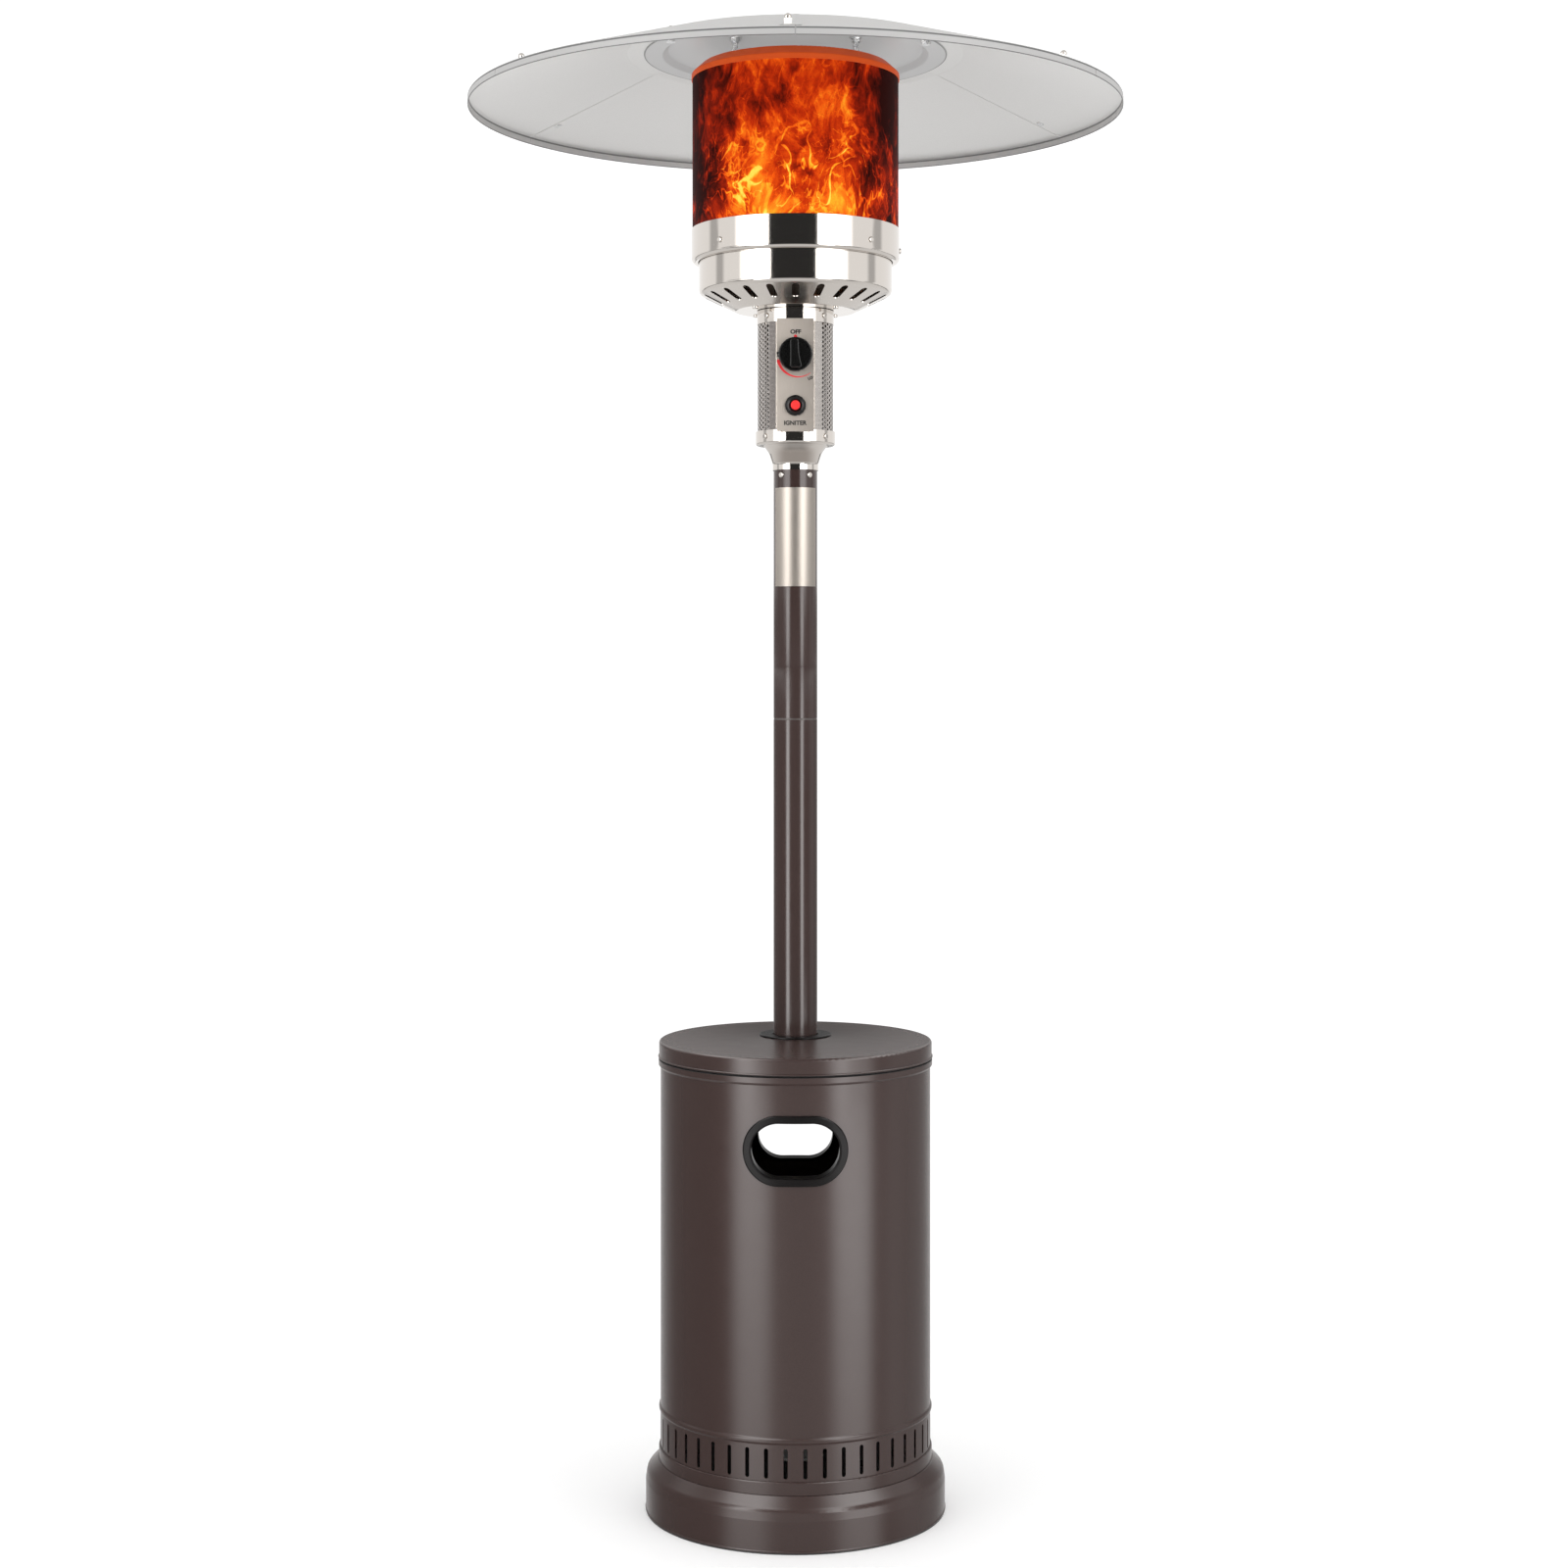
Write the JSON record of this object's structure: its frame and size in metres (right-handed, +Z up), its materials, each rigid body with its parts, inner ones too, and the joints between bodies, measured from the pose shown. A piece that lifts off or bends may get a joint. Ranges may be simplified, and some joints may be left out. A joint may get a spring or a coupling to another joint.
{
  "type": "patio heater",
  "caption": "Free-standing gas patio heater: weighted round base, lift-up bottle housing, pole, control neck with knob and igniter, burner head with emitter screen and reflector.",
  "frame": {"origin": "middle of the round foot, on the floor", "axes": "+Z up along the pole, -Y towards the user (the side with the knob), +X to the user's right"},
  "size_m": [0.982, 0.982, 2.2083],
  "materials": {
    "brown_paint": "hammered bronze-brown powder coat, satin, with a fine metallic fleck",
    "black_paint": "black powder coat, satin",
    "sleeve_steel": "plain drawn steel",
    "tank_plastic": "dark grey blow-moulded plastic with a fine grain",
    "white_plastic": "white moulded plastic",
    "zinc_steel": "bright zinc plate",
    "satin_steel": "satin stainless sheet, brushed lengthwise",
    "polished_steel": "polished stainless, near mirror",
    "copper_tube": "drawn copper tube, lightly dulled",
    "brass": "machined brass",
    "mesh_steel": "perforated stainless sheet",
    "black_plastic": "black moulded plastic, semi-gloss",
    "red_plastic": "red moulded plastic",
    "inner_steel": "heat-dulled pressed steel",
    "electrode_ceramic": "white glazed ceramic with a bare steel tip",
    "flame_screen": "perforated steel screen glowing red to orange in front of the flame",
    "hot_cap": "orange-red heated steel, satin",
    "reflector_aluminium": "bright rolled aluminium sheet, light satin",
    "black_trim": "black moulded plastic edging, satin"
  },
  "bodies": {
    "frame": {"base_cover": "brown_paint", "lower_pole": "brown_paint", "upper_pole": "brown_paint", "base_plate": "black_paint", "support_leg_right": "black_paint", "support_leg_rear_left": "black_paint", "support_leg_front_left": "black_paint", "leg_top_plate": "black_paint", "pole_sleeve": "sleeve_steel", "ballast_tank": "tank_plastic", "frame_bolts": "zinc_steel", "frame_nuts": "zinc_steel", "label_plate": "satin_steel", "pole_screws": "polished_steel", "collar_screws": "polished_steel", "head_screws": "polished_steel", "gas_supply_tube": "copper_tube", "gas_inlet_fitting": "brass", "gas_valve": "brass", "orifice": "brass", "neck_funnel": "polished_steel", "lower_collar": "polished_steel", "neck_collar": "polished_steel", "control_mesh": "mesh_steel", "control_panel": "satin_steel", "igniter_bezel": "black_plastic", "piezo_igniter": "black_plastic", "tilt_switch": "black_plastic", "pilot_assembly": "inner_steel", "thermocouple": "copper_tube", "igniter_electrode": "electrode_ceramic", "mixing_tube": "inner_steel", "head_bowl": "polished_steel", "head_band": "polished_steel", "burner_plate": "inner_steel", "burner_head": "inner_steel", "emitter_screen": "flame_screen", "emitter_cap": "hot_cap", "reflector_studs": "zinc_steel", "stud_nuts": "zinc_steel", "reflector_bolts": "zinc_steel", "reflector_cap_nuts": "polished_steel", "reflector_plate": "reflector_aluminium", "reflector_panel_1": "reflector_aluminium", "reflector_panel_2": "reflector_aluminium", "reflector_panel_3": "reflector_aluminium", "reflector_panel_4": "reflector_aluminium", "reflector_panel_5": "reflector_aluminium", "reflector_panel_6": "reflector_aluminium"},
    "housing": {"housing_shell": "brown_paint", "housing_lid": "brown_paint", "lid_guide_ring": "black_trim", "grip_trim_front": "black_trim", "grip_trim_rear": "black_trim", "housing_foot_ring": "brown_paint"},
    "knob_shaft": {"spindle_washer": "zinc_steel"},
    "knob_grip": {"knob": "black_plastic", "valve_spindle": "zinc_steel"},
    "igniter_press": {"igniter_button": "red_plastic"},
    "filler_plug": {"tank_plug": "white_plastic"}
  },
  "joints": [
    {"name": "housing_lift", "type": "slide", "parent": "frame", "child": "housing", "axis": [0, 0, 1], "range_m": [0, 0.47]},
    {"name": "knob_push", "type": "slide", "parent": "frame", "child": "knob_shaft", "axis": [0, 1, 0], "range_m": [0, 0.0035], "stiffness_N_per_m": 1500, "springref_m": -0.004},
    {"name": "knob_turn", "type": "hinge", "parent": "knob_shaft", "child": "knob_grip", "pos_m": [0, -0.0667, 1.7276], "axis": [0, -1, 0], "range_deg": [0, 210]},
    {"name": "igniter_push", "type": "slide", "parent": "frame", "child": "igniter_press", "axis": [0, 1, 0], "range_m": [0, 0.005], "stiffness_N_per_m": 900, "springref_m": -0.004},
    {"name": "plug_lift", "type": "slide", "parent": "frame", "child": "filler_plug", "axis": [0, 0, 1], "range_m": [0, 0.04]}
  ]
}
